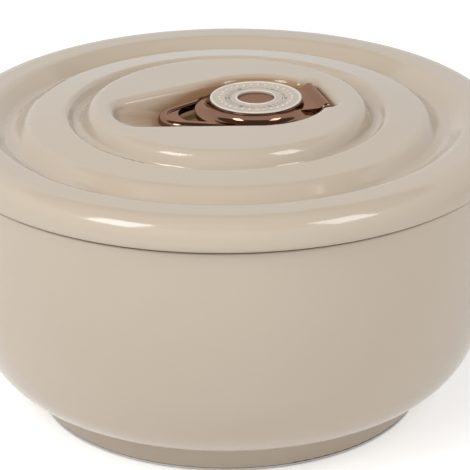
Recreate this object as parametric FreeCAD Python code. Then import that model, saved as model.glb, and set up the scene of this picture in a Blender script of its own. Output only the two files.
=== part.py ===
"""Insulated chapati casserole: a double-walled serving bowl with a lift-off insulated lid.

The lid carries a flip-up vent lever in a keyhole recess, with a turning date dial on top of it
and a silicone plug under it. Millimetres, +Z up, origin at the middle of the resting face. The
lever lies along X, with its finger loop towards -X and its hinge towards +X.
"""
import FreeCAD, Part
import math
import os

Vector = FreeCAD.Vector
UP = Vector(0, 0, 1)

# ---- bowl: driving dimensions --------------------------------------------------------------------
bowl_rim_radius = 103.1         # outside of the bowl at its rim
bowl_height = 98.9              # resting face to the bowl's rim
bowl_wall = 2.4                 # moulded outer bowl
rim_edge_round = 0.7
side_lean = 0.8                 # how far the side leans in over its upper part
side_break_drop = 39.2          # rim to the end of that upper part
side_round = 220.0
belly_step_in = 7.0             # rim to the lower side, measured inwards
belly_break_drop = 67.1
belly_round = 62.0
heel_reach = 16.6               # how far the belly stands out beyond the foot
heel_rise = 15.2
heel_round = 30.0
foot_radius = 71.8              # outside of the foot ring where it rests
foot_height = 8.7
foot_flare = 1.2                # the foot ring is this much wider at its top
foot_edge_round = 0.6
grip_ring_height = 1.0          # silicone ring under the foot
grip_ring_inset = 0.1
base_cover_recess = 3.0         # resting face to the underside of the base cover
base_cover_wall = 2.2
base_cover_lip = 5.5            # height of the base cover's rim
base_cover_round = 1.0          # between its floor and its rim
fill_plug_radius = 5.0          # plug in the hole that the foam is poured through
fill_plug_head = 1.3            # thickness of the plug's head
fill_plug_overlap = 2.0         # how far its head stands over the hole's edge

# ---- steel liner of the bowl ---------------------------------------------------------------------
liner_wall = 0.6
liner_flange_width = 8.8        # flange's outer edge to the inside of the liner's mouth
liner_taper = 3.1               # how far the liner's side leans in from its mouth to its floor
liner_floor_z = 22.0            # top face of the liner's floor
liner_floor_round = 34.0
liner_mouth_round = 3.0
liner_flange_clearance = 0.3    # flange to the inside of the outer bowl
liner_flange_drop = 0.2         # top of the flange under the bowl's rim
liner_hem = 1.6                 # turned-down edge of the flange
liner_hem_round = 1.0
gasket_thickness = 1.2          # ring under the liner's flange
gasket_inset = 1.2
foam_clearance = 0.2

# ---- lid: driving dimensions ---------------------------------------------------------------------
lid_overhang = 1.9              # how far the lid stands out over the bowl's rim
lid_gap = 0.6                   # open seam between bowl and lid
lid_wall = 2.2
lid_edge_round = 1.5
lid_rim_rise = 11.5             # lid's lower edge to the top of its rim
lid_rim_round = 9.0
rim_width = 16.4                # lid's edge to where the rim's top meets its inner slope
rim_inner_round = 5.0
rim_inner_slope = 6.8           # width of the slope from the rim down to the outer groove
outer_groove_floor_rise = 6.6
outer_groove_width = 3.2
outer_groove_round = 4.2
ring_outer_slope = 5.0          # width of the slope from the outer groove up to the raised ring
ring_outer_rise = 11.5
ring_outer_round = 5.0
ring_inner_slope = 2.8          # width of the slope from the raised ring down to the inner groove
ring_inner_rise = 13.4
ring_inner_round = 2.5
inner_groove_floor_rise = 9.4
inner_groove_width = 3.0
inner_groove_round = 2.6
plateau_slope = 3.2             # width of the slope from the inner groove up to the plateau
plateau_margin = 7.65           # finger end of the recess to the plateau's edge
plateau_rise = 16.3
plateau_round = 4.6

inner_lid_wall = 2.0
inner_lid_flange_rise = 1.1     # lid's lower edge to the underside of the inner lid's flange
inner_lid_fit = 0.15            # flange to the inside of the lid's skirt
plug_clearance = 1.9            # inner lid to the inside of the liner
plug_depth = 8.0                # how far the inner lid reaches below the lid's lower edge
plug_round = 5.0
seal_width = 6.4
seal_inset = 0.9                # seal to the inner lid's plug wall
seal_rest_clearance = 0.25      # under the seal, above the liner's flange
seal_bead_width = 2.4
seal_bead_height = 0.6
lid_foam_height = 8.2

# ---- recess for the lever ------------------------------------------------------------------------
dial_offset = 11.15             # dial's axis from the lid's axis, towards the hinge
bonnet_clearance = 3.0          # bonnet to the round part of the recess
recess_depth = 9.0
recess_wall = 2.0
recess_draft = 3.0              # how much its round part and finger end narrow from top to floor
recess_floor_round = 2.5
finger_room = 16.7              # finger loop to the end wall at its side
finger_end_round = 24.0         # bow of that end wall
finger_side_room = 3.9          # how much wider the finger end is than the loop, each side
finger_corner_round = 8.5       # upright corners of the finger end
barrel_side_clearance = 1.1     # barrel to the sides of the square notch round the hinge
barrel_end_clearance = 0.9      # barrel to the end of the notch
notch_draft = 0.5               # how much the notch narrows from top to floor
scoop_length = 22.9             # rising part of the floor, up to the finger end
scoop_rise = 6.0
corner_round = 2.8              # upright corners of the notch
kink_round = 4.0                # where the round part meets the notch
lip_round = 3.6                 # edge between the recess and the lid's top

# ---- vent lever ----------------------------------------------------------------------------------
hinge_reach = 1.2               # hinge axis outside the bonnet's edge
hinge_drop = 2.5                # hinge axis below the lid's top
barrel_radius = 2.3
barrel_half_length = 12.2
barrel_end_round = 1.0
pin_radius = 1.0
pin_seat = 1.5                  # pin's hold in the recess wall at each end
pin_running_fit = 0.06
bonnet_radius = 22.8            # flared skirt under the dial
bonnet_edge_height = 2.2
bonnet_drop = 5.6               # lid's top to the bonnet's lower edge
bonnet_lip = 0.9                # thickness of the lip that carries the dial's rim
flare_foot = 0.5                # foot of the flare above the bonnet's edge
flare_radius = 3.2              # hollow of the flare
loop_reach = 3.9                # middle of the finger loop's round end outside the bonnet's edge
loop_radius = 10.5
loop_bar = 7.6                  # width of the bar that the finger lifts
loop_rail = 3.8                 # width of the loop's two sides
loop_bead = 3.4                 # raised bead along the loop's outer edge
loop_bead_height = 0.6
loop_round = 1.8                # outer edge of the bead
loop_inner_round = 0.4
tab_drop = 1.9                  # lid's top to the tab's top
tab_thickness = 2.2
tab_hollow = 1.5                # hollow between the tab's top and the barrel
hub_radius = 6.2
hub_drop = 5.2                  # lid's top to the hub's lower end

# ---- date dial -----------------------------------------------------------------------------------
dial_radius = 17.0
dial_rim_thickness = 0.5        # its rim lies over the bonnet's lip
dial_skirt_radius = 16.1        # the part that sits inside the lip
dial_top_rise = 0.95            # above the lid's top
dial_thickness = 3.4
dial_well_radius = 6.9          # open centre of the dial
dial_well_depth = 2.3
dial_bore_radius = 4.6
dial_running_gap = 0.2
dial_edge_lip = 0.9             # raised lip round the dial's face
dial_face_sink = 0.35
pip_count = 31                  # one raised pip for each day
pip_radius = 0.5
pip_ring_radius = 13.4
friction_ring_radius = 11.0
friction_ring_section = 0.8
cap_thickness = 1.4
cap_clearance = 0.25
cap_stem_radius = 2.2
cap_stem_length = 1.9

# ---- vent plug and sleeve ------------------------------------------------------------------------
vent_bore_radius = 3.4
funnel_depth = 3.6
funnel_flare = 2.5              # the funnel is this much wider at its top
plug_seat_gap = 0.25
plug_flange_thickness = 1.4
plug_barb_radius = 1.6
plug_barb_height = 1.7
sleeve_wall = 2.2
sleeve_flange_radius = 8.4
sleeve_flange_thickness = 1.2
sleeve_hole_fit = 0.2
vent_gasket_thickness = 0.8
sleeve_shoulder_height = 1.6
clip_thickness = 1.2

# ---- derived levels and radii; those along the lever count from the dial's axis ------------------
hinge_offset = bonnet_radius + hinge_reach
loop_centre = bonnet_radius + loop_reach
recess_radius = bonnet_radius + bonnet_clearance
notch_half_width = barrel_half_length + barrel_side_clearance
notch_end = hinge_offset + barrel_radius + barrel_end_clearance
finger_half_width = loop_radius + finger_side_room
finger_end = loop_centre + loop_radius + finger_room
scoop_start = finger_end - scoop_length
lid_radius = bowl_rim_radius + lid_overhang
rim_inner_radius = lid_radius - rim_width
outer_groove_outer_radius = rim_inner_radius - rim_inner_slope
outer_groove_inner_radius = outer_groove_outer_radius - outer_groove_width
ring_outer_radius = outer_groove_inner_radius - ring_outer_slope
plateau_radius = finger_end - dial_offset + plateau_margin
inner_groove_inner_radius = plateau_radius + plateau_slope
inner_groove_outer_radius = inner_groove_inner_radius + inner_groove_width
ring_inner_radius = inner_groove_outer_radius + ring_inner_slope
lid_edge_z = bowl_height + lid_gap
lid_top_z = lid_edge_z + plateau_rise
recess_floor_z = lid_top_z - recess_depth
flange_top_z = bowl_height - liner_flange_drop
bowl_inner_radius = bowl_rim_radius - bowl_wall
liner_flange_radius = bowl_inner_radius - liner_flange_clearance
liner_mouth_radius = liner_flange_radius - liner_flange_width
liner_floor_radius = liner_mouth_radius - liner_taper
foam_top_z = flange_top_z - liner_wall - gasket_thickness
inner_lid_flange_z = lid_edge_z + inner_lid_flange_rise
inner_lid_floor_z = lid_edge_z - plug_depth
plug_wall_radius = liner_mouth_radius - plug_clearance
hinge_x = dial_offset + hinge_offset
hinge_z = lid_top_z - hinge_drop
dial_top_z = lid_top_z + dial_top_rise
dial_base_z = dial_top_z - dial_thickness
dial_ledge_z = dial_top_z - dial_well_depth
platform_z = dial_base_z - dial_running_gap
sleeve_top_z = recess_floor_z + vent_gasket_thickness + sleeve_flange_thickness
sleeve_radius = vent_bore_radius + sleeve_wall
sleeve_hole_radius = sleeve_radius + sleeve_hole_fit
hub_base_z = lid_top_z - hub_drop
bonnet_low_z = lid_top_z - bonnet_drop
bonnet_edge_z = bonnet_low_z + bonnet_edge_height
bonnet_lip_radius = dial_skirt_radius + dial_running_gap + bonnet_lip
loop_crest_z = bonnet_edge_z + loop_bead_height


# ---- sections made of straight runs with rounded corners -----------------------------------------
def rounded_wire(corners):
    """Closed wire in the XZ plane; each corner is (x, z, rounding radius)."""
    points = [Vector(x, 0, z) for x, z, _ in corners]
    count = len(points)
    cuts = []
    for i, (_, _, radius) in enumerate(corners):
        back = (points[i - 1] - points[i]).normalize()
        ahead = (points[(i + 1) % count] - points[i]).normalize()
        half = back.getAngle(ahead) / 2
        cuts.append(radius / math.tan(half) if radius > 0 else 0.0)
    fitted = list(cuts)
    for i in range(count):
        j = (i + 1) % count
        room = (points[j] - points[i]).Length
        wanted = cuts[i] + cuts[j]
        if wanted > room:
            fitted[i] = min(fitted[i], cuts[i] * room / wanted)
            fitted[j] = min(fitted[j], cuts[j] * room / wanted)
    edges = []
    starts, ends = [], []
    for i in range(count):
        back = (points[i - 1] - points[i]).normalize()
        ahead = (points[(i + 1) % count] - points[i]).normalize()
        starts.append(points[i] + back * fitted[i])
        ends.append(points[i] + ahead * fitted[i])
        if fitted[i] > 1e-6:
            half = back.getAngle(ahead) / 2
            middle = (back + ahead).normalize()
            radius = fitted[i] * math.tan(half)
            crown = points[i] + middle * (radius / math.sin(half) - radius)
            edges.append((i, Part.Arc(starts[i], crown, ends[i]).toShape()))
    runs = []
    for i in range(count):
        j = (i + 1) % count
        if (starts[j] - ends[i]).Length > 1e-4:
            runs.append((i + 0.5, Part.makeLine(ends[i], starts[j])))
    ordered = [edge for _, edge in sorted(edges + runs, key=lambda item: item[0])]
    return Part.Wire(Part.__sortEdges__(ordered))


def turned(corners):
    """Solid of revolution about the Z axis from a rounded section."""
    return Part.Face(rounded_wire(corners)).revolve(Vector(0, 0, 0), UP, 360)


def offset_path(path, distance):
    """The same open path moved sideways, to the left of its direction, with its roundings kept."""
    flat = [Vector(x, z, 0) for x, z, _ in path]
    headings = [(b - a).normalize() for a, b in zip(flat, flat[1:])]
    normals = [Vector(-h.y, h.x, 0) for h in headings]
    moved = [(flat[0] + normals[0] * distance, 0.0)]
    for i in range(1, len(flat) - 1):
        before, after = normals[i - 1], normals[i]
        bisector = (before + after).normalize()
        reach = distance / bisector.dot(before)
        turn = headings[i - 1].cross(headings[i]).z
        radius = path[i][2] - distance if turn > 0 else path[i][2] + distance
        radius = max(radius, 0.2) if path[i][2] > 0 else 0.0
        moved.append((flat[i] + bisector * reach, radius))
    moved.append((flat[-1] + normals[-1] * distance, 0.0))
    return [(point.x, point.y, radius) for point, radius in moved]


def levelled(end, neighbour, z):
    """End of a path moved along its last run to a given height."""
    share = (z - neighbour[1]) / (end[1] - neighbour[1])
    return (neighbour[0] + (end[0] - neighbour[0]) * share, z, end[2])


def walled(path, wall, first_round=0.0, last_round=0.0, level_ends=False):
    """Section of a wall that follows an open path, thickened to the left of its direction."""
    other = offset_path(path, wall)
    if level_ends:
        other[0] = levelled(other[0], other[1], path[0][1])
        other[-1] = levelled(other[-1], other[-2], path[-1][1])
    near = [(x, z, r) for x, z, r in path]
    near[0] = (near[0][0], near[0][1], first_round)
    near[-1] = (near[-1][0], near[-1][1], last_round)
    far = [(x, z, r) for x, z, r in reversed(other)]
    far[0] = (far[0][0], far[0][1], last_round)
    far[-1] = (far[-1][0], far[-1][1], first_round)
    return near + far


def disc(radius, z_low, z_high, x=0.0):
    return Part.makeCylinder(radius, z_high - z_low, Vector(x, 0, z_low))


def ring(outer, inner, z_low, z_high, x=0.0):
    return disc(outer, z_low, z_high, x).cut(disc(inner, z_low - 1, z_high + 1, x))


# ---- bowl ----------------------------------------------------------------------------------------
def bowl_side_path():
    """Outside of the bowl from the foot ring's lower edge up to the rim."""
    return [
        (foot_radius, grip_ring_height, 0.0),
        (foot_radius + foot_flare, foot_height, 1.2),
        (foot_radius + heel_reach, heel_rise, heel_round),
        (bowl_rim_radius - belly_step_in, bowl_height - belly_break_drop, belly_round),
        (bowl_rim_radius - side_lean, bowl_height - side_break_drop, side_round),
        (bowl_rim_radius, bowl_height, 0.0),
    ]


def make_outer_bowl():
    section = walled(bowl_side_path(), bowl_wall, foot_edge_round, rim_edge_round, level_ends=True)
    return turned(section)


def make_grip_ring():
    inner = foot_radius - bowl_wall + grip_ring_inset
    outer = foot_radius - grip_ring_inset
    return turned([
        (inner, 0, 0.3), (outer, 0, 0.3),
        (outer, grip_ring_height, 0), (inner, grip_ring_height, 0)])


def liner_path():
    """Inside of the liner from the hem of its flange, over the mouth and down to the floor's middle."""
    return [
        (liner_flange_radius, flange_top_z - liner_hem, 0.0),
        (liner_flange_radius, flange_top_z, liner_hem_round),
        (liner_mouth_radius, flange_top_z, liner_mouth_round),
        (liner_floor_radius, liner_floor_z, liner_floor_round),
        (0.0, liner_floor_z, 0.0),
    ]


def make_bowl_liner():
    return turned(walled(liner_path(), liner_wall))


def foot_inner_radius(z):
    share = (z - grip_ring_height) / (foot_height - grip_ring_height)
    return foot_radius - bowl_wall + foot_flare * share


def make_base_cover():
    """Dished cover pressed up into the foot ring, with the hole that the foam is poured through."""
    radius = foot_inner_radius(base_cover_recess) - foam_clearance
    lip_inner = radius - base_cover_wall
    lip_top = base_cover_recess + base_cover_lip
    floor_top = base_cover_recess + base_cover_wall
    cover = turned([
        (0, base_cover_recess, 0), (radius, base_cover_recess, 0.8),
        (radius, lip_top, 0.4), (lip_inner, lip_top, 0.4),
        (lip_inner, floor_top, base_cover_round), (0, floor_top, 0)])
    return cover.cut(disc(fill_plug_radius, 0, bowl_height / 2))


def make_fill_plug():
    head_low = base_cover_recess - fill_plug_head
    head = turned([
        (0, head_low, 0), (fill_plug_radius + fill_plug_overlap, head_low, 0.6),
        (fill_plug_radius + fill_plug_overlap, base_cover_recess, 0), (0, base_cover_recess, 0)])
    stem = disc(fill_plug_radius, base_cover_recess, base_cover_recess + base_cover_wall)
    return head.fuse(stem)


def make_bowl_insulation():
    """Foam that fills the space between the outer bowl, the liner and the base cover."""
    side = offset_path(bowl_side_path(), bowl_wall + foam_clearance)[2:]
    liner = offset_path(liner_path(), liner_wall + foam_clearance)[2:]
    lip = foot_inner_radius(base_cover_recess) - base_cover_wall - 2 * foam_clearance
    floor_z = base_cover_recess + base_cover_wall + foam_clearance
    lip_top_z = base_cover_recess + base_cover_lip + foam_clearance
    heel_in, heel_z, _ = offset_path(bowl_side_path(), bowl_wall + foam_clearance)[1]
    lift = max(0.0, lip_top_z - heel_z)
    side_top = side[-1][0]
    mouth = liner[0][0]
    section = [(0, floor_z, 0), (lip, floor_z, base_cover_round + foam_clearance), (lip, lip_top_z, 0)]
    section += [(heel_in, heel_z + lift, 0)]
    section += side[:-1]
    section += [(side_top, foam_top_z, 0), (mouth, foam_top_z, liner_mouth_round)]
    section += [liner[1], (0, liner[-1][1], 0)]
    return turned(section)


def make_liner_gasket():
    outer = liner_flange_radius - gasket_inset
    inner = liner_mouth_radius + liner_wall + liner_mouth_round
    top = flange_top_z - liner_wall
    return ring(outer, inner, top - gasket_thickness, top)


# ---- keyhole recess ------------------------------------------------------------------------------
def keyhole_wire(grow, notch_grow, z):
    """Outline of the recess at height z; the notch grows outwards by a distance of its own."""
    round_part = recess_radius + grow
    bend = finger_corner_round + grow
    bow_centre = Vector(finger_end_round - finger_end, 0, 0)
    bend_side = finger_half_width - finger_corner_round
    bend_ahead = math.sqrt((finger_end_round - finger_corner_round) ** 2 - bend_side ** 2)
    bend_centre = bow_centre + Vector(-bend_ahead, bend_side, 0)
    outward = (bend_centre - bow_centre).normalize()
    facing = bend_centre.getAngle(Vector(1, 0, 0)) - math.acos((round_part - bend) / bend_centre.Length)
    sideways = Vector(math.cos(facing), math.sin(facing), 0)
    side_start = sideways * round_part
    side_end = bend_centre + sideways * bend
    bend_middle = bend_centre + (sideways + outward).normalize() * bend
    bend_end = bend_centre + outward * bend
    bow_middle = Vector(-finger_end - grow, 0, 0)
    half = notch_half_width + notch_grow
    kink = Vector(math.sqrt(round_part ** 2 - half ** 2), half, 0)
    corner = Vector(notch_end + notch_grow, half, 0)

    def at(point, side=1):
        return Vector(point.x + dial_offset, side * point.y, z)

    top = Vector(0, round_part, 0)
    edges = [
        Part.makeLine(at(corner, -1), at(corner)),
        Part.makeLine(at(corner), at(kink)),
        Part.Arc(at(kink), at(top), at(side_start)).toShape(),
        Part.makeLine(at(side_start), at(side_end)),
        Part.Arc(at(side_end), at(bend_middle), at(bend_end)).toShape(),
        Part.Arc(at(bend_end), at(bow_middle), at(bend_end, -1)).toShape(),
        Part.Arc(at(bend_end, -1), at(bend_middle, -1), at(side_end, -1)).toShape(),
        Part.makeLine(at(side_end, -1), at(side_start, -1)),
        Part.Arc(at(side_start, -1), at(top, -1), at(kink, -1)).toShape(),
        Part.makeLine(at(kink, -1), at(corner, -1)),
    ]
    return Part.Wire(edges)


def keyhole_block(grow, floor_z, top_z):
    """Drafted block in the outline of the recess, with its floor rising to the finger end."""
    share = (top_z - floor_z) / recess_depth
    low_wire = keyhole_wire(grow - recess_draft * share, grow - notch_draft * share, floor_z)
    block = Part.makeLoft([low_wire, keyhole_wire(grow, grow, top_z)], True)
    start_x = dial_offset - scoop_start
    far_x = dial_offset - finger_end - 2 * recess_wall
    slope = scoop_rise / (finger_end - scoop_start)
    rise = (start_x - far_x) * slope
    half = recess_radius + 2 * recess_wall
    wedge_wire = Part.makePolygon([
        Vector(start_x, -half, floor_z), Vector(far_x, -half, floor_z + rise),
        Vector(far_x, -half, floor_z - 1), Vector(start_x, -half, floor_z - 1),
        Vector(start_x, -half, floor_z)])
    wedge = Part.Face(wedge_wire).extrude(Vector(0, 2 * half, 0))
    return block.cut(wedge)


def upright_edges(shape, x_low, x_high):
    """Edges that stand nearly upright, between two limits of X."""
    found = []
    for edge in shape.Edges:
        first, last = edge.Vertexes[0].Point, edge.Vertexes[-1].Point
        run = last - first
        if run.Length > 3 and abs(run.z) > 0.8 * run.Length and x_low < first.x < x_high:
            found.append(edge)
    return found


def floor_edges(tool):
    """Edges between the floor of the recess and its walls, without the crease across the floor."""
    floors = [face for face in tool.Faces
              if face.BoundBox.ZMax < lid_top_z - 1 and abs(face.normalAt(0, 0).z) > 0.8]
    edges = [edge for face in floors for edge in face.Edges]
    return [edge for edge in edges if sum(edge.isSame(other) for other in edges) == 1]


def make_recess_tool():
    """What the recess takes out of the lid, with its upright corners rounded."""
    tool = keyhole_block(0.0, recess_floor_z, lid_top_z)
    notch_x = dial_offset + recess_radius
    tool = tool.makeFillet(kink_round, upright_edges(tool, dial_offset, notch_x))
    tool = tool.makeFillet(corner_round, upright_edges(tool, notch_x, lid_radius))
    return tool.makeFillet(recess_floor_round, floor_edges(tool))


def lip_edges(cover):
    """Edges of the recess in the lid's flat top."""
    found = []
    for edge in cover.Edges:
        reach = max(math.hypot(v.Point.x, v.Point.y) for v in edge.Vertexes)
        if edge.BoundBox.ZMin > lid_top_z - 0.001 and reach < plateau_radius - plateau_round:
            found.append(edge)
    return found


# ---- lid -----------------------------------------------------------------------------------------
def lid_top_path():
    """Outside of the lid from the middle of its top, over both grooves, to its lower edge."""
    z = lid_edge_z
    return [
        (0.0, z + plateau_rise, 0.0),
        (plateau_radius, z + plateau_rise, plateau_round),
        (inner_groove_inner_radius, z + inner_groove_floor_rise, inner_groove_round),
        (inner_groove_outer_radius, z + inner_groove_floor_rise, inner_groove_round),
        (ring_inner_radius, z + ring_inner_rise, ring_inner_round),
        (ring_outer_radius, z + ring_outer_rise, ring_outer_round),
        (outer_groove_inner_radius, z + outer_groove_floor_rise, outer_groove_round),
        (outer_groove_outer_radius, z + outer_groove_floor_rise, outer_groove_round),
        (rim_inner_radius, z + lid_rim_rise + 0.2, rim_inner_round),
        (lid_radius + 0.2, z + lid_rim_rise, lid_rim_round),
        (lid_radius, z, 0.0),
    ]


def make_lid_cover():
    outer = lid_top_path()
    inner = offset_path(outer, -lid_wall)
    section = outer[:-1] + [(outer[-1][0], outer[-1][1], lid_edge_round)]
    section += [(inner[-1][0], outer[-1][1], 0.4)] + [c for c in reversed(inner[:-1])]
    cover = turned(section)
    cup = keyhole_block(recess_wall, recess_floor_z - recess_wall, lid_top_z - lid_wall / 2)
    cover = cover.fuse(cup).cut(make_recess_tool())
    cover = cover.makeFillet(lip_round, lip_edges(cover))
    cover = cover.cut(disc(sleeve_hole_radius, 0, lid_top_z, dial_offset))
    return cover.cut(hinge_rod(pin_radius, notch_half_width + pin_seat))


def hinge_rod(radius, half_length):
    start = Vector(hinge_x, -half_length, hinge_z)
    return Part.makeCylinder(radius, 2 * half_length, start, Vector(0, 1, 0))


def inner_lid_path():
    """Underside of the inner lid from its flange's edge, down the plug wall, to the middle."""
    skirt_inside = lid_radius - lid_wall
    return [
        (skirt_inside - inner_lid_fit, inner_lid_flange_z, 0.0),
        (plug_wall_radius, inner_lid_flange_z, 0.8),
        (plug_wall_radius - 0.4, inner_lid_floor_z, plug_round),
        (0.0, inner_lid_floor_z, 0.0),
    ]


def seal_outer_radius():
    return plug_wall_radius + seal_inset + seal_width


def make_inner_lid():
    path = inner_lid_path()
    body = turned(walled(path, -inner_lid_wall))
    rib_in = seal_outer_radius() + 0.2
    rib = ring(rib_in + 1.4, rib_in, inner_lid_flange_z - 1.0, inner_lid_flange_z + 0.5)
    return body.fuse(rib).cut(disc(sleeve_hole_radius, 0, lid_top_z, dial_offset))


def make_lid_seal():
    inner = plug_wall_radius + seal_inset
    outer = seal_outer_radius()
    low = flange_top_z + seal_rest_clearance
    base = low + seal_bead_height
    middle = (inner + outer) / 2
    half = seal_bead_width / 2
    return turned([
        (inner, base, 0.2), (middle - half, base, 0), (middle - half, low, 0.5),
        (middle + half, low, 0.5), (middle + half, base, 0), (outer, base, 0.2),
        (outer, inner_lid_flange_z, 0), (inner, inner_lid_flange_z, 0)])


def make_lid_insulation():
    low = inner_lid_floor_z + inner_lid_wall + foam_clearance
    radius = plug_wall_radius - inner_lid_wall - 4 * foam_clearance
    foam = turned([
        (0, low, 0), (radius, low, plug_round - inner_lid_wall),
        (radius, low + lid_foam_height, 2.0), (0, low + lid_foam_height, 0)])
    return foam.cut(disc(sleeve_flange_radius + foam_clearance, 0, lid_top_z, dial_offset))


# ---- vent sleeve through the lid -----------------------------------------------------------------
def at_dial(shape):
    """Moves a part turned about Z onto the dial's axis."""
    return shape.translated(Vector(dial_offset, 0, 0))


def make_vent_sleeve():
    """Tube through both walls of the lid, with the funnel that the plug closes at its top."""
    shoulder_z = inner_lid_floor_z + inner_lid_wall + vent_gasket_thickness
    foot_z = inner_lid_floor_z - clip_thickness
    under_flange = sleeve_top_z - sleeve_flange_thickness
    return at_dial(turned([
        (vent_bore_radius, foot_z, 0.3), (sleeve_radius, foot_z, 0.3),
        (sleeve_radius, shoulder_z, 0), (sleeve_flange_radius, shoulder_z, 0.3),
        (sleeve_flange_radius, shoulder_z + sleeve_shoulder_height, 0.3),
        (sleeve_radius, shoulder_z + sleeve_shoulder_height, 0),
        (sleeve_radius, under_flange, 0), (sleeve_flange_radius, under_flange, 0),
        (sleeve_flange_radius, sleeve_top_z, 0.5),
        (vent_bore_radius + funnel_flare, sleeve_top_z, 0.3),
        (vent_bore_radius, sleeve_top_z - funnel_depth, 0.6)]))


def make_vent_gasket(low):
    return ring(sleeve_flange_radius - 0.1, sleeve_radius + 0.1,
                low, low + vent_gasket_thickness, dial_offset)


def make_sleeve_clip():
    """Retaining ring under the inner lid that holds the sleeve up against its shoulder."""
    return ring(sleeve_flange_radius, sleeve_radius, inner_lid_floor_z - clip_thickness,
                inner_lid_floor_z, dial_offset)


# ---- vent lever ----------------------------------------------------------------------------------
def bonnet_section():
    """Flared bonnet with the dished platform for the dial and the hub in its middle."""
    lip_z = dial_top_z - dial_rim_thickness - dial_running_gap
    lip_in = bonnet_lip_radius - bonnet_lip
    ceiling = platform_z - 1.8
    spigot = dial_bore_radius - 0.1
    return [
        (0, hub_base_z, 0), (hub_radius, hub_base_z, 0.4), (hub_radius, ceiling, 0.8),
        (lip_in - 2.4, ceiling, 1.2), (bonnet_radius - 1.9, bonnet_low_z, 0.4),
        (bonnet_radius, bonnet_low_z, 0.3), (bonnet_radius, bonnet_edge_z, 0.3),
        (bonnet_lip_radius + 0.4, bonnet_edge_z + flare_foot, flare_radius),
        (bonnet_lip_radius, lip_z, 0.2), (lip_in, lip_z, 0.2), (lip_in, platform_z, 0),
        (spigot, platform_z, 0), (spigot, dial_ledge_z - 0.1, 0.2), (0, dial_ledge_z - 0.1, 0)]


def hull_outline(radius_a, centre_b, radius_b, z):
    """Outline round two circles: one on the dial's axis, one further along -X."""
    lean = math.asin((radius_a - radius_b) / centre_b)
    a_point = Vector(-radius_a * math.sin(lean), radius_a * math.cos(lean), 0)
    b_point = Vector(-centre_b - radius_b * math.sin(lean), radius_b * math.cos(lean), 0)

    def at(point, side=1):
        return Vector(point.x + dial_offset, side * point.y, z)

    return Part.Wire([
        Part.Arc(at(a_point, -1), at(Vector(radius_a, 0, 0)), at(a_point)).toShape(),
        Part.makeLine(at(a_point), at(b_point)),
        Part.Arc(at(b_point), at(Vector(-centre_b - radius_b, 0, 0)), at(b_point, -1)).toShape(),
        Part.makeLine(at(b_point, -1), at(a_point, -1))])


def outline_block(radius_a, centre_b, radius_b, z_low, z_high):
    wire = hull_outline(radius_a, centre_b, radius_b, z_low)
    return Part.Face(wire).extrude(Vector(0, 0, z_high - z_low))


def loop_block(inset, z_low, z_high):
    """Block in the outline of bonnet and loop, drawn in all round by a distance."""
    return outline_block(bonnet_radius - 0.3 - inset, loop_centre, loop_radius - inset, z_low, z_high)


def finger_opening(z_low, z_high):
    """Opening between the bonnet and the bar, with sides that follow the loop's outside."""
    lean = math.asin((bonnet_radius - 0.3 - loop_radius) / loop_centre)
    side = bonnet_radius - 0.3 - loop_rail
    end = loop_centre + loop_radius - loop_bar
    centre = (end - side) / (1 - math.sin(lean))
    block = outline_block(side, centre, end - centre, z_low, z_high)
    return block.cut(disc(bonnet_radius - 0.6, z_low - 1, z_high + 1, dial_offset))


def top_edges(shape, z):
    """Edges that lie flat at height z."""
    return [e for e in shape.Edges if abs(e.BoundBox.ZMin - z) < 1e-6 and e.BoundBox.ZMax - z < 1e-6]


def make_finger_loop():
    """Bar and two rails with a rounded bead along their outer edge."""
    plate = loop_block(0.0, bonnet_low_z, loop_crest_z)
    plate = plate.makeFillet(loop_round, top_edges(plate, loop_crest_z))
    hollow = loop_block(loop_bead, bonnet_edge_z, loop_crest_z + 1)
    hollow = hollow.makeFillet(loop_inner_round, top_edges(hollow, bonnet_edge_z))
    over_bonnet = disc(bonnet_radius, bonnet_edge_z, loop_crest_z + 1, dial_offset)
    under_dial = disc(dial_radius, bonnet_low_z - 1, loop_crest_z, dial_offset)
    for cutter in (hollow, over_bonnet, under_dial, finger_opening(bonnet_low_z - 1, loop_crest_z + 1)):
        plate = plate.cut(cutter)
    return plate


def make_hinge_tab():
    """Tab from the bonnet to the barrel, hollowed between its top and the barrel."""
    top = lid_top_z - tab_drop
    half = barrel_half_length - barrel_end_round
    plate = Part.makeBox(hinge_offset, 2 * half, tab_thickness,
                         Vector(dial_offset, -half, top - tab_thickness))
    barrel = hinge_rod(barrel_radius, barrel_half_length)
    ends = [e for e in barrel.Edges if e.BoundBox.YLength < 0.01]
    tab = plate.fuse(barrel.makeFillet(barrel_end_round, ends)).removeSplitter()
    corner_x = hinge_x - math.sqrt(barrel_radius ** 2 - (top - hinge_z) ** 2)
    corner = [e for e in tab.Edges if e.BoundBox.YLength > half
              and abs(e.BoundBox.XMin - corner_x) < 0.01 and abs(e.BoundBox.ZMin - top) < 0.01]
    tab = tab.makeFillet(tab_hollow, corner)
    return tab.cut(disc(bonnet_lip_radius - bonnet_lip / 2, bonnet_low_z - 1, lid_top_z, dial_offset))


def make_vent_lever():
    lever = at_dial(turned(bonnet_section())).fuse([make_finger_loop(), make_hinge_tab()])
    bore = hinge_rod(pin_radius + pin_running_fit, barrel_half_length + 1)
    groove = Part.makeTorus(friction_ring_radius, friction_ring_section + 0.05,
                            Vector(dial_offset, 0, platform_z))
    stem_hole = disc(cap_stem_radius, dial_ledge_z - cap_stem_length, lid_top_z, dial_offset)
    barb_hole = disc(plug_barb_radius, hub_base_z, hub_base_z + plug_barb_height, dial_offset)
    for cutter in (bore, groove, stem_hole, barb_hole):
        lever = lever.cut(cutter)
    return lever


def make_hinge_pin():
    return hinge_rod(pin_radius, notch_half_width + pin_seat)


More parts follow.
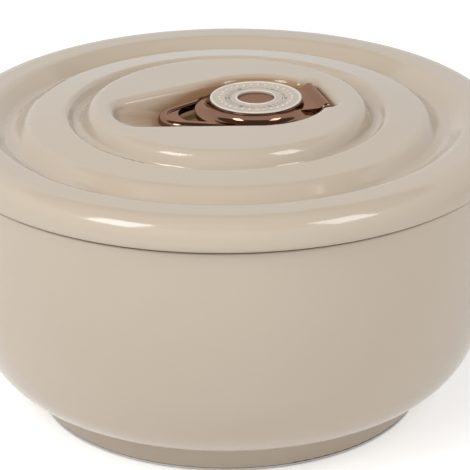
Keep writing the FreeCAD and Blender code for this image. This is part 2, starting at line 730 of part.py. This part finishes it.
def make_vent_plug():
    """Silicone cone that closes the funnel, held to the lever's hub by its barb."""
    slope = funnel_flare / funnel_depth
    tip_z = sleeve_top_z - funnel_depth + 0.6
    tip_radius_here = vent_bore_radius + 0.6 * slope - plug_seat_gap
    top_radius = vent_bore_radius + funnel_flare - plug_seat_gap
    flange_z = hub_base_z - plug_flange_thickness
    return at_dial(turned([
        (0, tip_z, 0), (tip_radius_here, tip_z, 0.5), (top_radius, sleeve_top_z, 0.3),
        (top_radius, flange_z, 0), (hub_radius, flange_z, 0.3), (hub_radius, hub_base_z, 0),
        (plug_barb_radius, hub_base_z, 0), (plug_barb_radius, hub_base_z + plug_barb_height, 0.3),
        (0, hub_base_z + plug_barb_height, 0)]))


# ---- date dial -----------------------------------------------------------------------------------
def make_date_dial():
    """Dial with a sunk face, a rim over the bonnet's lip, one pip for each day and a stepped bore."""
    face_z = dial_top_z - dial_face_sink
    rim_z = dial_top_z - dial_rim_thickness
    lip_in = dial_radius - dial_edge_lip
    body = at_dial(turned([
        (dial_bore_radius, dial_base_z, 0.2), (dial_skirt_radius, dial_base_z, 0.4),
        (dial_skirt_radius, rim_z, 0), (dial_radius, rim_z, 0.1),
        (dial_radius, dial_top_z, 0.3), (lip_in, dial_top_z, 0.3), (lip_in - 0.2, face_z, 0.2),
        (dial_well_radius + 0.8, face_z, 0.2), (dial_well_radius + 0.5, dial_top_z, 0.3),
        (dial_well_radius, dial_top_z, 0.25), (dial_well_radius, dial_ledge_z, 0),
        (dial_bore_radius, dial_ledge_z, 0.2)]))
    pips = []
    for day in range(pip_count):
        angle = 2 * math.pi * day / pip_count
        centre = Vector(dial_offset + pip_ring_radius * math.cos(angle),
                        pip_ring_radius * math.sin(angle), face_z)
        pips.append(Part.makeSphere(pip_radius, centre))
    return body.fuse(pips)


def make_dial_cap():
    """Plated disc in the dial's open centre; its stem is pressed into the lever's hub."""
    low = dial_ledge_z + dial_running_gap / 2
    radius = dial_well_radius - cap_clearance
    return at_dial(turned([
        (0, dial_ledge_z - cap_stem_length, 0), (cap_stem_radius, dial_ledge_z - cap_stem_length, 0.3),
        (cap_stem_radius, low, 0), (radius, low, 0.2), (radius, low + cap_thickness, 0.3),
        (0, low + cap_thickness, 0)]))


def make_friction_ring():
    """Rubber ring in the platform's groove that keeps the dial where it is set."""
    centre = Vector(dial_offset, 0, platform_z - 0.02)
    return Part.makeTorus(friction_ring_radius, friction_ring_section, centre).cut(
        ring(dial_radius, dial_bore_radius, dial_base_z - 0.05, dial_top_z, dial_offset))


# ---- write one STEP for each piece ---------------------------------------------------------------
pieces = {
    "outer_bowl": make_outer_bowl(),
    "bowl_liner": make_bowl_liner(),
    "bowl_insulation": make_bowl_insulation(),
    "liner_gasket": make_liner_gasket(),
    "base_cover": make_base_cover(),
    "foam_fill_plug": make_fill_plug(),
    "foot_grip_ring": make_grip_ring(),
    "lid_cover": make_lid_cover(),
    "inner_lid": make_inner_lid(),
    "lid_insulation": make_lid_insulation(),
    "lid_seal": make_lid_seal(),
    "vent_sleeve": make_vent_sleeve(),
    "vent_upper_gasket": make_vent_gasket(recess_floor_z),
    "vent_lower_gasket": make_vent_gasket(inner_lid_floor_z + inner_lid_wall),
    "vent_sleeve_clip": make_sleeve_clip(),
    "lever_hinge_pin": make_hinge_pin(),
    "vent_lever": make_vent_lever(),
    "vent_plug": make_vent_plug(),
    "dial_friction_ring": make_friction_ring(),
    "dial_cap": make_dial_cap(),
    "date_dial": make_date_dial(),
}

os.makedirs("parts", exist_ok=True)
for name, shape in pieces.items():
    solids = shape.Solids
    body = solids[0] if len(solids) == 1 else Part.makeCompound(solids)
    box = body.BoundBox
    print(name, "solids", len(solids), "valid", body.isValid(), "volume", round(body.Volume, 1),
          "z", round(box.ZMin, 2), round(box.ZMax, 2), "r", round(box.XMax, 2))
    body.exportStep("parts/" + name + ".step")
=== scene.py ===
"""Insulated chapati casserole, finished piece by piece in the order in which it is put together.

Metres, +Z up, the bowl's axis on Z. The lever in the lid lies along X, its finger loop towards -X.
"""
import math

import bpy
import bmesh
from mathutils import Matrix, Vector


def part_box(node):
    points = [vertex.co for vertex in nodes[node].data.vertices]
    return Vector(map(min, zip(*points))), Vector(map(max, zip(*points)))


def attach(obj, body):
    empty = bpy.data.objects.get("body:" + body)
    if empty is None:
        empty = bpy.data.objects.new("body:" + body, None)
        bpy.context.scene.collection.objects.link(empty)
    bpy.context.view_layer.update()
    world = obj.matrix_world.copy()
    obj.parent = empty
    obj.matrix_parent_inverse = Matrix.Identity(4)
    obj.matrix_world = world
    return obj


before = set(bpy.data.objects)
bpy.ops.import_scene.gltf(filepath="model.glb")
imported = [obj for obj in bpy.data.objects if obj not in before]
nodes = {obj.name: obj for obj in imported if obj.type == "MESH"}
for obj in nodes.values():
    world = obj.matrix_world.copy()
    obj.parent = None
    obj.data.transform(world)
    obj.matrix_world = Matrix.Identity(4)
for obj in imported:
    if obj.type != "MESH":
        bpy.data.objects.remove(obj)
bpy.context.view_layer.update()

# ---- camera -------------------------------------------------------------------------------------------
# A long lens looks down on the lid from the front, a little to the left of the lever's middle.
# The seam between bowl and lid is the ring that it is set up on.
frame_width = 470
focal_length_px = 3000.0
metres_per_px = 0.0003717
sensor_width = 36.0
camera_turn = math.radians(-15.6)
camera_rise = math.radians(21.1)
camera_roll = math.radians(-0.5)
seam_half_gap = 0.0005
seam_centre = Vector((0.0, 0.0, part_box("lid_cover")[0].z - seam_half_gap))
seam_centre_px = (227.3, 144.5)


def direction(turn, rise):
    """Unit vector from the object towards a turn about Z and a rise above the floor."""
    return Vector((math.sin(turn) * math.cos(rise), -math.cos(turn) * math.cos(rise), math.sin(rise)))


to_camera = direction(camera_turn, camera_rise)
level_right = Vector((math.cos(camera_turn), math.sin(camera_turn), 0.0))
level_up = to_camera.cross(level_right)
camera_right = level_right * math.cos(camera_roll) + level_up * math.sin(camera_roll)
camera_up = level_up * math.cos(camera_roll) - level_right * math.sin(camera_roll)
aim_right = (frame_width / 2 - seam_centre_px[0]) / focal_length_px
aim_down = (frame_width / 2 - seam_centre_px[1]) / focal_length_px
camera_back = (to_camera - camera_right * aim_right + camera_up * aim_down).normalized()
camera_right = camera_up.cross(camera_back).normalized()
camera_up = camera_back.cross(camera_right)

camera_data = bpy.data.cameras.new("camera")
camera_data.sensor_width = sensor_width
camera_data.lens = sensor_width * focal_length_px / frame_width
camera = bpy.data.objects.new("camera", camera_data)
bpy.context.scene.collection.objects.link(camera)
placing = Matrix((camera_right, camera_up, camera_back)).transposed().to_4x4()
placing.translation = seam_centre + to_camera * focal_length_px * metres_per_px
camera.matrix_world = placing
bpy.context.scene.camera = camera
bpy.context.scene.view_settings.view_transform = "Standard"

# ---- floor and studio light -----------------------------------------------------------------------------
# A pale floor in a white room, two small softboxes, and wide fills round the front and above.
# A dark flag hangs over the set and shows only in reflections, as a studio's black flags do.
# Turns are counted from the camera's own side of the object.
room_light = 0.22
floor_white = (0.82, 0.82, 0.82, 1.0)
floor_lift = 0.48               # makes the floor read as white without more light on the object
floor_radius = 6.0
floor_level = -0.0002
floor_corners = 96
flag_dark = (0.20, 0.15, 0.12, 1.0)
flag_radius = 1.5
flag_height = 1.6
flag_corners = 64
lamps = {                       # turn, rise, distance, width, height, power
    "softbox_left": (-52.0, 46.0, 1.3, 0.40, 0.46, 5.6),
    "softbox_right": (56.0, 46.0, 1.3, 0.40, 0.44, 3.6),
    "side_fill_left": (-80.0, 15.0, 2.2, 1.4, 1.0, 6.4),
    "top_fill_left": (-110.0, 60.0, 2.2, 1.4, 1.0, 2.6),
    "top_fill_front": (-10.0, 65.0, 2.2, 1.4, 1.0, 1.8),
    "front_fill_high": (-35.0, 40.0, 2.2, 1.4, 1.0, 11.2),
    "front_fill_low": (10.0, 12.0, 2.2, 1.4, 1.0, 4.8),
    "side_fill_right": (55.0, 15.0, 2.2, 1.4, 1.0, 6.6),
}


def feed(tree, socket, value):
    """Links another node's output to a socket, or sets a plain number, colour or vector on it."""
    if isinstance(value, bpy.types.NodeSocket):
        tree.links.new(value, socket)
    else:
        socket.default_value = value


def calculate(tree, operation, first, second):
    """Math node on two values."""
    sum_node = tree.nodes.new("ShaderNodeMath")
    sum_node.operation = operation
    feed(tree, sum_node.inputs[0], first)
    feed(tree, sum_node.inputs[1], second)
    return sum_node.outputs[0]


def stretch(tree, value, from_range, to_range=(0.0, 1.0), interpolation="LINEAR"):
    """Runs over to_range while the value runs over from_range, and stops at both ends."""
    node = tree.nodes.new("ShaderNodeMapRange")
    node.interpolation_type = interpolation
    labels = ("Value", "From Min", "From Max", "To Min", "To Max")
    for label, limit in zip(labels, (value, *from_range, *to_range)):
        feed(tree, node.inputs[label], limit)
    return node.outputs["Result"]


def seen_directly(tree):
    """1 where the camera, a mirror or a clear piece looks at the thing, and 0 for its light on others."""
    path = tree.nodes.new("ShaderNodeLightPath")
    seen, mirrored, through = (path.outputs[ray] for ray in
                               ("Is Camera Ray", "Is Glossy Ray", "Is Transmission Ray"))
    return calculate(tree, "MAXIMUM", calculate(tree, "MAXIMUM", seen, mirrored), through)


def stage_material(name):
    """Material with nothing in it but its output, whose surface is still open."""
    material = bpy.data.materials.new(name)
    material.use_nodes = True
    material.node_tree.nodes.clear()
    output = material.node_tree.nodes.new("ShaderNodeOutputMaterial")
    return material, material.node_tree, output.inputs["Surface"]


def stage_disc(name, corners, radius, height, material):
    """Level disc that belongs to the set and not to the object."""
    bpy.ops.mesh.primitive_circle_add(vertices=corners, radius=radius, fill_type="NGON",
                                      location=(0, 0, height))
    disc = bpy.context.object
    disc.name = name
    disc.data.materials.append(material)
    return disc


room = bpy.data.worlds.new("white_room")
bpy.context.scene.world = room
room.use_nodes = True
room_tree = room.node_tree
room_wall = room_tree.nodes["Background"]
room_wall.inputs["Color"].default_value = (1.0, 1.0, 1.0, 1.0)
feed(room_tree, room_wall.inputs["Strength"],
     stretch(room_tree, seen_directly(room_tree), (0.0, 1.0), (room_light, 1.0)))

floor_finish, floor_tree, floor_surface = stage_material("floor_finish")
floor_matt = floor_tree.nodes.new("ShaderNodeBsdfDiffuse")
floor_matt.inputs["Color"].default_value = floor_white
floor_glow = floor_tree.nodes.new("ShaderNodeEmission")
feed(floor_tree, floor_glow.inputs["Strength"],
     calculate(floor_tree, "MULTIPLY", seen_directly(floor_tree), floor_lift))
floor_sum = floor_tree.nodes.new("ShaderNodeAddShader")
floor_tree.links.new(floor_matt.outputs[0], floor_sum.inputs[0])
floor_tree.links.new(floor_glow.outputs[0], floor_sum.inputs[1])
floor_tree.links.new(floor_sum.outputs[0], floor_surface)
stage_disc("floor", floor_corners, floor_radius, floor_level, floor_finish)

flag_finish, flag_tree, flag_surface = stage_material("flag_finish")
flag_cloth = flag_tree.nodes.new("ShaderNodeEmission")
flag_cloth.inputs["Color"].default_value = flag_dark
flag_tree.links.new(flag_cloth.outputs[0], flag_surface)
flag = stage_disc("flag", flag_corners, flag_radius, flag_height, flag_finish)
flag.visible_camera = flag.visible_diffuse = flag.visible_transmission = flag.visible_shadow = False

for name, (turn, rise, distance, width, height, power) in lamps.items():
    lamp = bpy.data.lights.new(name, "AREA")
    lamp.shape = "RECTANGLE"
    lamp.size, lamp.size_y, lamp.energy = width, height, power
    lamp_stand = bpy.data.objects.new(name, lamp)
    bpy.context.scene.collection.objects.link(lamp_stand)
    away = direction(camera_turn + math.radians(turn), math.radians(rise))
    lamp_stand.location = seam_centre + away * distance
    lamp_stand.rotation_euler = away.to_track_quat("Z", "Y").to_euler()
    lamp_stand.visible_glossy = name.startswith("softbox")

# ---- outer bowl -----------------------------------------------------------------------------------------
# The outer shell is injection-moulded polypropylene, warm beige and glossy from a polished mould.
# Its skin has the faint cloudiness and the very shallow ripple of thick moulded walls, and
# painted shade darkens its colour to brown in the narrow gaps between the shell and its neighbours.
shell_beige = (0.563, 0.475, 0.379, 1.0)
shell_beige_deep = (0.539, 0.450, 0.353, 1.0)
plastic_ior = 1.49
clouds_per_metre = 14.0
ripples_per_metre = 260.0
noise_middle = (0.3, 0.7)       # most of a noise lies in this range
cloud_detail = 3.0
dull_patches_per_metre = 45.0
dull_patch_detail = 5.0
ripple_detail = 2.0
# painted shade: the brown that narrow gaps and creases are darkened to, and the occlusion reach that finds
# them
painted_gap_shade_brown = (0.06, 0.035, 0.022, 1.0)
gap_reach = 0.003
gap_samples = 12
gap_starts = 0.50
gap_closed = 0.12
mix_first, mix_second, mix_result = 6, 7, 2     # colour sockets of a Mix node


def new_group(name, inputs, outputs):
    """Empty node group with named sockets; each of inputs is (name, kind, value)."""
    group = bpy.data.node_groups.new(name, "ShaderNodeTree")
    for label, kind, value in inputs:
        socket = group.interface.new_socket(name=label, in_out="INPUT", socket_type="NodeSocket" + kind)
        socket.default_value = value
    for label, kind in outputs:
        group.interface.new_socket(name=label, in_out="OUTPUT", socket_type="NodeSocket" + kind)
    return group, group.nodes.new("NodeGroupInput"), group.nodes.new("NodeGroupOutput")


def object_place(tree):
    """A point's place in the object's own metres."""
    return tree.nodes.new("ShaderNodeTexCoord").outputs["Object"]


def noise(tree, scale, detail, place=None):
    """Noise with its scale per metre."""
    cloud = tree.nodes.new("ShaderNodeTexNoise")
    feed(tree, cloud.inputs["Scale"], scale)
    feed(tree, cloud.inputs["Detail"], detail)
    tree.links.new(object_place(tree) if place is None else place, cloud.inputs["Vector"])
    return cloud.outputs["Fac"]


def mix_colors(tree, factor, first, second):
    """First colour where the factor is 0, second where it is 1."""
    mix = tree.nodes.new("ShaderNodeMix")
    mix.data_type = "RGBA"
    feed(tree, mix.inputs["Factor"], factor)
    feed(tree, mix.inputs[mix_first], first)
    feed(tree, mix.inputs[mix_second], second)
    return mix.outputs[mix_result]


moulded_skin, skin_in, skin_out = new_group(
    "moulded_skin",
    [("Color", "Color", shell_beige), ("Deep Color", "Color", shell_beige_deep),
     ("Cloud Scale", "Float", clouds_per_metre), ("Ripple Scale", "Float", ripples_per_metre),
     ("Smoothest", "Float", 0.1), ("Dullest", "Float", 0.2)],
    [("Color", "Color"), ("Roughness", "Float"), ("Height", "Float")])
skin_cloud = noise(moulded_skin, skin_in.outputs["Cloud Scale"], cloud_detail)
skin_patches = noise(moulded_skin, dull_patches_per_metre, dull_patch_detail)
skin_ripple = noise(moulded_skin, skin_in.outputs["Ripple Scale"], ripple_detail)
feed(moulded_skin, skin_out.inputs["Color"],
     mix_colors(moulded_skin, skin_cloud, skin_in.outputs["Color"], skin_in.outputs["Deep Color"]))
feed(moulded_skin, skin_out.inputs["Roughness"],
     stretch(moulded_skin, skin_patches, noise_middle,
             (skin_in.outputs["Smoothest"], skin_in.outputs["Dullest"])))
feed(moulded_skin, skin_out.inputs["Height"], skin_ripple)

# Painted shade: an ambient-occlusion mask darkens the colour to brown in narrow gaps and creases.
painted_gap_shade, shade_in, shade_out = new_group(
    "painted_gap_shade",
    [("Color", "Color", shell_beige), ("Painted Shade Color", "Color", painted_gap_shade_brown)],
    [("Color", "Color")])
shade_open = painted_gap_shade.nodes.new("ShaderNodeAmbientOcclusion")
shade_open.samples = gap_samples
shade_open.inputs["Distance"].default_value = gap_reach
painted_shade_mask = stretch(painted_gap_shade, shade_open.outputs["AO"], (gap_starts, gap_closed),
                     interpolation="SMOOTHSTEP")
feed(painted_gap_shade, shade_out.inputs["Color"],
     mix_colors(painted_gap_shade, painted_shade_mask, shade_in.outputs["Color"], shade_in.outputs["Painted Shade Color"]))


def plain_finish(name, metallic=0.0):
    """Material with one Principled BSDF, its node tree, and that shader."""
    material = bpy.data.materials.new(name)
    material.use_nodes = True
    shader = material.node_tree.nodes["Principled BSDF"]
    shader.inputs["Metallic"].default_value = metallic
    return material, material.node_tree, shader


def place_group(tree, group, settings):
    """The group as a node in a material, with its own values."""
    node = tree.nodes.new("ShaderNodeGroup")
    node.node_tree = group
    for label, value in settings.items():
        node.inputs[label].default_value = value
    return node


def raise_surface(tree, shader, height, distance):
    """Feeds a height, in metres, to the shader's normal."""
    bump = tree.nodes.new("ShaderNodeBump")
    bump.inputs["Distance"].default_value = distance
    bump.inputs["Strength"].default_value = 1.0
    tree.links.new(height, bump.inputs["Height"])
    tree.links.new(bump.outputs["Normal"], shader.inputs["Normal"])


def moulded_plastic(name, color, deep_color, smoothest, dullest, ripple, cloud_scale=clouds_per_metre):
    """Moulded plastic between two shades of a colour and two roughnesses, with painted shade in its gaps."""
    material, tree, shader = plain_finish(name)
    skin = place_group(tree, moulded_skin, {
        "Color": color, "Deep Color": deep_color, "Smoothest": smoothest, "Dullest": dullest,
        "Cloud Scale": cloud_scale})
    gaps = place_group(tree, painted_gap_shade, {})
    tree.links.new(skin.outputs["Color"], gaps.inputs["Color"])
    tree.links.new(gaps.outputs["Color"], shader.inputs["Base Color"])
    tree.links.new(skin.outputs["Roughness"], shader.inputs["Roughness"])
    shader.inputs["IOR"].default_value = plastic_ior
    raise_surface(tree, shader, skin.outputs["Height"], ripple)
    return material


def finish(name, material):
    """Gives a CAD piece its finish."""
    for slot in nodes[name].material_slots:
        slot.material = material


shell_finish = moulded_plastic("shell_gloss_beige", shell_beige, shell_beige_deep,
                               smoothest=0.08, dullest=0.12, ripple=0.000012)
finish("outer_bowl", shell_finish)

# ---- steel liner ----------------------------------------------------------------------------------------
# Stainless steel spun to a bowl with a rolled flange; the spinning leaves fine rings round its axis.
# It drops into the shell before the foam is poured.
steel_grey = (0.66, 0.65, 0.63, 1.0)
ring_detail = 3.0


def axis_place(tree):
    """A point's place seen along Z, as a vector with no height, and its height."""
    parts = tree.nodes.new("ShaderNodeSeparateXYZ")
    tree.links.new(object_place(tree), parts.inputs[0])
    flat = tree.nodes.new("ShaderNodeCombineXYZ")
    tree.links.new(parts.outputs["X"], flat.inputs["X"])
    tree.links.new(parts.outputs["Y"], flat.inputs["Y"])
    return flat.outputs[0], parts.outputs["Z"]


def distance_from(tree, place, centre):
    """How far a place lies from a centre."""
    apart = tree.nodes.new("ShaderNodeVectorMath")
    apart.operation = "DISTANCE"
    feed(tree, apart.inputs[0], place)
    feed(tree, apart.inputs[1], centre)
    return apart.outputs["Value"]


spun_rings, rings_in, rings_out = new_group(
    "spun_rings",
    [("Rings Per Metre", "Float", 900.0), ("Smoothest", "Float", 0.2), ("Dullest", "Float", 0.35)],
    [("Roughness", "Float"), ("Height", "Float")])
rings_flat, rings_height = axis_place(spun_rings)
rings_line = spun_rings.nodes.new("ShaderNodeCombineXYZ")
feed(spun_rings, rings_line.inputs["X"], distance_from(spun_rings, rings_flat, (0.0, 0.0, 0.0)))
feed(spun_rings, rings_line.inputs["Z"], rings_height)
rings_noise = noise(spun_rings, rings_in.outputs["Rings Per Metre"], ring_detail, rings_line.outputs[0])
feed(spun_rings, rings_out.inputs["Roughness"],
     stretch(spun_rings, rings_noise, noise_middle,
             (rings_in.outputs["Smoothest"], rings_in.outputs["Dullest"])))
feed(spun_rings, rings_out.inputs["Height"], rings_noise)


def turned_steel(name, color, rings_per_metre, smoothest, dullest, depth):
    """Steel with fine rings round the Z axis."""
    material, tree, shader = plain_finish(name, metallic=1.0)
    shader.inputs["Base Color"].default_value = color
    rings = place_group(tree, spun_rings, {
        "Rings Per Metre": rings_per_metre, "Smoothest": smoothest, "Dullest": dullest})
    tree.links.new(rings.outputs["Roughness"], shader.inputs["Roughness"])
    raise_surface(tree, shader, rings.outputs["Height"], depth)
    return material


liner_finish = turned_steel("liner_spun_steel", steel_grey, rings_per_metre=900.0,
                            smoothest=0.18, dullest=0.34, depth=0.00002)
finish("bowl_liner", liner_finish)

# ---- foam in the bowl and the lid -----------------------------------------------------------------------
# Rigid polyurethane foam that is poured into both shells and sets there, bonded to their walls.
# It is straw-coloured, with fine closed cells.
foam_straw = (0.80, 0.70, 0.42, 1.0)
foam_straw_deep = (0.68, 0.56, 0.30, 1.0)
foam_cells_per_metre = 900.0
foam_cell_depth = 0.0003
foam_finish, foam_tree, foam_shader = plain_finish("poured_foam")
foam_skin = place_group(foam_tree, moulded_skin, {
    "Color": foam_straw, "Deep Color": foam_straw_deep, "Smoothest": 0.75, "Dullest": 0.95,
    "Cloud Scale": 60.0})
foam_tree.links.new(foam_skin.outputs["Color"], foam_shader.inputs["Base Color"])
foam_tree.links.new(foam_skin.outputs["Roughness"], foam_shader.inputs["Roughness"])
foam_cells = foam_tree.nodes.new("ShaderNodeTexVoronoi")
foam_cells.inputs["Scale"].default_value = foam_cells_per_metre
foam_tree.links.new(object_place(foam_tree), foam_cells.inputs["Vector"])
raise_surface(foam_tree, foam_shader, foam_cells.outputs["Distance"], foam_cell_depth)
finish("bowl_insulation", foam_finish)
finish("lid_insulation", foam_finish)

# ---- base cover and its plug ----------------------------------------------------------------------------
# A dished cover pressed into the foot ring closes the foam space; a small plug fills the pouring hole.
# Both are the shell's plastic, from a plainer mould, so they are a little duller.
base_finish = moulded_plastic("base_satin_beige", shell_beige, shell_beige_deep,
                              smoothest=0.26, dullest=0.36, ripple=0.00002, cloud_scale=25.0)
finish("base_cover", base_finish)
finish("foam_fill_plug", base_finish)

# ---- silicone rings, seal and vent plug -----------------------------------------------------------------
# Pressed food-grade silicone: milky, soft and slightly dusty-looking, with a fine matt skin.
# The rings are stretched into their grooves, and the plug is buttoned onto the lever's spigot.
silicone_milk = (0.74, 0.72, 0.67, 1.0)
silicone_milk_deep = (0.68, 0.66, 0.61, 1.0)
silicone_glow = 0.25
silicone_reach = (0.004, 0.003, 0.002)
silicone_reach_scale = 0.3
silicone_ior = 1.41
silicone_finish = moulded_plastic("milky_silicone", silicone_milk, silicone_milk_deep,
                                  smoothest=0.38, dullest=0.52, ripple=0.00003, cloud_scale=40.0)
silicone_shader = silicone_finish.node_tree.nodes["Principled BSDF"]
silicone_shader.inputs["Subsurface Weight"].default_value = silicone_glow
silicone_shader.inputs["Subsurface Radius"].default_value = silicone_reach
silicone_shader.inputs["Subsurface Scale"].default_value = silicone_reach_scale
silicone_shader.inputs["IOR"].default_value = silicone_ior
for ring_name in ("foot_grip_ring", "liner_gasket", "lid_seal", "vent_upper_gasket", "vent_lower_gasket",
                  "vent_plug", "dial_friction_ring"):
    finish(ring_name, silicone_finish)

# ---- lid: cover and inner lid ---------------------------------------------------------------------------
# The cover is the bowl's glossy plastic; the inner lid under it is off-white satin polypropylene.
# The two are joined round the flange after the foam is poured. Painted reflection and shade: the
# recess plastic is painted browner the deeper it lies and the nearer it is to the lever.
inner_white = (0.76, 0.71, 0.62, 1.0)
inner_white_deep = (0.73, 0.67, 0.57, 1.0)
# painted reflection of the plating and painted shade: the brown the recess plastic is mixed towards
recess_painted_shade_brown = (0.37, 0.225, 0.12, 1.0)
recess_reach = 0.048            # every point of the recess lies nearer to the lid's axis
painted_shade_near, painted_shade_far = 0.025, 0.040                  # from the dial's axis
painted_shade_depth_near, painted_shade_depth_far = 0.0012, 0.0100    # depth at which the tint is full
lid_top_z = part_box("lid_cover")[1].z
dial_low, dial_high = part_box("date_dial")
dial_centre = (dial_low + dial_high) / 2


def cover_with(material, mask, color):
    """Lays a colour over a material's own where the mask is 1."""
    tree = material.node_tree
    base_color = tree.nodes["Principled BSDF"].inputs["Base Color"]
    tree.links.new(mix_colors(tree, mask, base_color.links[0].from_socket, color), base_color)


lid_finish = moulded_plastic("lid_gloss_beige", shell_beige, shell_beige_deep,
                             smoothest=0.08, dullest=0.12, ripple=0.000012)
lid_tree = lid_finish.node_tree
lid_flat, lid_height = axis_place(lid_tree)
# Painted reflection and shade: the recess is mixed towards brown by depth and nearness to the dial.
in_recess = calculate(lid_tree, "LESS_THAN", distance_from(lid_tree, lid_flat, (0.0, 0.0, 0.0)), recess_reach)
painted_shade_full_z = stretch(lid_tree, distance_from(lid_tree, lid_flat, (dial_centre.x, dial_centre.y, 0.0)),
                      (painted_shade_near, painted_shade_far), (lid_top_z - painted_shade_depth_near, lid_top_z - painted_shade_depth_far))
painted_recess_shade = stretch(lid_tree, lid_height, (lid_top_z, painted_shade_full_z))
cover_with(lid_finish, calculate(lid_tree, "MULTIPLY", in_recess, painted_recess_shade), recess_painted_shade_brown)
finish("lid_cover", lid_finish)

inner_finish = moulded_plastic("inner_satin_white", inner_white, inner_white_deep,
                               smoothest=0.28, dullest=0.38, ripple=0.00002, cloud_scale=22.0)
for inner_name in ("inner_lid", "vent_sleeve", "vent_sleeve_clip"):
    finish(inner_name, inner_finish)

# ---- hinge pin ------------------------------------------------------------------------------------------
# Ground stainless-steel pin, pressed into both sides of the notch in the lid.
# The lever's barrel turns on it.
pin_finish = turned_steel("ground_steel", steel_grey, rings_per_metre=2500.0,
                          smoothest=0.15, dullest=0.28, depth=0.000005)
finish("lever_hinge_pin", pin_finish)

# ---- vent lever and dial cap ----------------------------------------------------------------------------
# Moulded plastic with a bright rose-gold plating; the plating copies the slight waviness of the
# moulding. The lever is polished and the cap has a satin sheen.
rose_gold = (0.270, 0.153, 0.106, 1.0)
rose_gold_deep = (0.215, 0.116, 0.080, 1.0)
rose_gold_edge = (0.80, 0.70, 0.63, 1.0)
plating_wave = 0.00003
plating_waves_per_metre = 120.0
plating_clouds_per_metre = 90.0


def plated(name, smoothest, dullest):
    """Rose-gold plating between two roughnesses."""
    material, tree, shader = plain_finish(name, metallic=1.0)
    skin = place_group(tree, moulded_skin, {
        "Color": rose_gold, "Deep Color": rose_gold_deep, "Smoothest": smoothest, "Dullest": dullest,
        "Cloud Scale": plating_clouds_per_metre, "Ripple Scale": plating_waves_per_metre})
    tree.links.new(skin.outputs["Color"], shader.inputs["Base Color"])
    tree.links.new(skin.outputs["Roughness"], shader.inputs["Roughness"])
    shader.inputs["Specular Tint"].default_value = rose_gold_edge
    raise_surface(tree, shader, skin.outputs["Height"], plating_wave)
    return material


finish("vent_lever", plated("rose_gold_plating", smoothest=0.05, dullest=0.10))
finish("dial_cap", plated("rose_gold_satin", smoothest=0.22, dullest=0.32))

# ---- date dial ------------------------------------------------------------------------------------------
# Pale grey satin plastic with a raised lip outside and inside and a raised dot for each day; the
# raised parts are paler than the face. The day numerals are printed inside the dots and read outwards
# along the radius, the first and every fifth in darker ink.
dial_grey = (0.58, 0.50, 0.42, 1.0)
dial_grey_deep = (0.53, 0.45, 0.37, 1.0)
dial_white = (0.73, 0.66, 0.57, 1.0)
inks = {                        # colour, worn colour
    "dark_ink": ((0.03, 0.03, 0.035, 1.0), (0.10, 0.10, 0.11, 1.0)),
    "light_ink": ((0.30, 0.27, 0.25, 1.0), (0.40, 0.36, 0.33, 1.0)),
}
day_count = 31
dark_ink_every = 5
lip_height = 0.0005
raised_from = 0.0001            # lips and dots stand more than this over the face
numeral_circle = 0.0105
numeral_size = 0.0024
ink_thickness = 0.00004
dial_face_z = dial_high.z - lip_height

dial_finish = moulded_plastic("dial_satin_grey", dial_grey, dial_grey_deep,
                              smoothest=0.30, dullest=0.42, ripple=0.00002, cloud_scale=60.0)
dial_tree = dial_finish.node_tree
dial_height = axis_place(dial_tree)[1]
over_face = calculate(dial_tree, "GREATER_THAN", dial_height, dial_face_z + raised_from)
cover_with(dial_finish, over_face, dial_white)
finish("date_dial", dial_finish)


def numeral_mesh(day):
    """Thin raised print of one day number at the origin, reading along +Y."""
    text = bpy.data.curves.new("day_text", "FONT")
    text.body = str(day)
    text.size = numeral_size
    text.align_x = text.align_y = "CENTER"
    text.extrude = ink_thickness
    holder = bpy.data.objects.new("day_text", text)
    bpy.context.scene.collection.objects.link(holder)
    bpy.context.view_layer.update()
    flat = bpy.data.meshes.new_from_object(holder.evaluated_get(bpy.context.evaluated_depsgraph_get()))
    bpy.data.objects.remove(holder)
    bpy.data.curves.remove(text)
    flat.transform(Matrix.Rotation(math.pi / 2, 4, "Z"))
    return flat


print_work = bmesh.new()
for day in range(1, day_count + 1):
    angle = 2 * math.pi * (day - 0.5) / day_count
    spot = Matrix.Translation((dial_centre.x, dial_centre.y, dial_face_z)) @ Matrix.Rotation(-angle, 4, "Z")
    numeral = numeral_mesh(day)
    numeral.transform(spot @ Matrix.Translation((0.0, numeral_circle, 0.0)))
    in_light_ink = day > 1 and day % dark_ink_every > 0
    for face in numeral.polygons:
        face.material_index = int(in_light_ink)
    print_work.from_mesh(numeral)
    bpy.data.meshes.remove(numeral)
print_mesh = bpy.data.meshes.new("day_numerals")
print_work.to_mesh(print_mesh)
print_work.free()
for ink_name, (ink_color, worn_color) in inks.items():
    print_mesh.materials.append(moulded_plastic(ink_name, ink_color, worn_color,
                                                smoothest=0.45, dullest=0.6, ripple=0.00001,
                                                cloud_scale=300.0))
day_numerals = bpy.data.objects.new("day_numerals", print_mesh)
bpy.context.scene.collection.objects.link(day_numerals)
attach(day_numerals, "dial")
